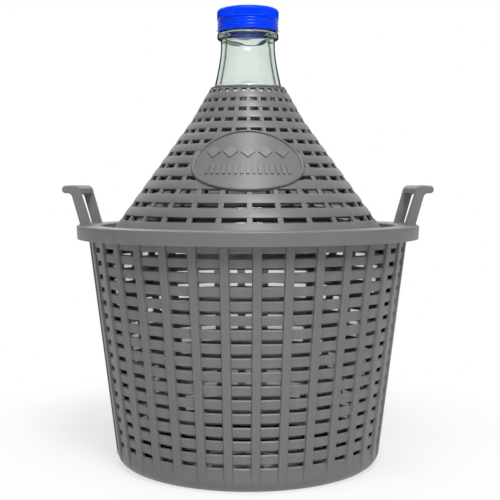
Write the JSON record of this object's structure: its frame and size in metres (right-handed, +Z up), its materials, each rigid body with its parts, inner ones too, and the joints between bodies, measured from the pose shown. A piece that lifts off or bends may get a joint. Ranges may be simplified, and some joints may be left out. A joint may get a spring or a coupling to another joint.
{
  "type": "demijohn",
  "caption": "Glass demijohn with a screw cap, standing in a slotted plastic basket with two handles under a slotted conical cover.",
  "frame": {"origin": "middle of the basket's flat underside", "axes": "+Z up along the bottle's axis, -Y towards the oval plate on the front of the cover, +X towards the right handle"},
  "size_m": [0.3098, 0.2938, 0.3901],
  "materials": {
    "basket_plastic": "injection-moulded grey polypropylene, satin",
    "cover_plastic": "injection-moulded grey polypropylene, satin",
    "green_glass": "clear pale-green bottle glass",
    "blue_plastic": "royal-blue moulded plastic, glossy",
    "liner_foam": "off-white sealing disc"
  },
  "bodies": {
    "basket_body": {"basket": "basket_plastic"},
    "bottle_body": {"glass_bottle": "green_glass"},
    "cover_body": {"shoulder_cover": "cover_plastic"},
    "liner_body": {"cap_liner": "liner_foam"},
    "cap_body": {"screw_cap": "blue_plastic"}
  },
  "joints": [
    {"name": "bottle_lift", "type": "slide", "parent": "basket_body", "child": "bottle_body", "axis": [0, 0, 1], "range_m": [0, 0.24]},
    {"name": "cover_lift", "type": "slide", "parent": "bottle_body", "child": "cover_body", "axis": [0, 0, 1], "range_m": [0, 0.195]},
    {"name": "cap_lift", "type": "slide", "parent": "bottle_body", "child": "liner_body", "axis": [0, 0, 1], "range_m": [0, 0.0071]},
    {"name": "cap_twist", "type": "hinge", "parent": "liner_body", "child": "cap_body", "pos_m": [0, 0, 0.3789], "axis": [0, 0, 1], "range_deg": [0, 630]}
  ],
  "couplings": [
    {"joint": "cap_lift", "follows": "cap_twist", "m_per_rad": 0.00063662}
  ]
}
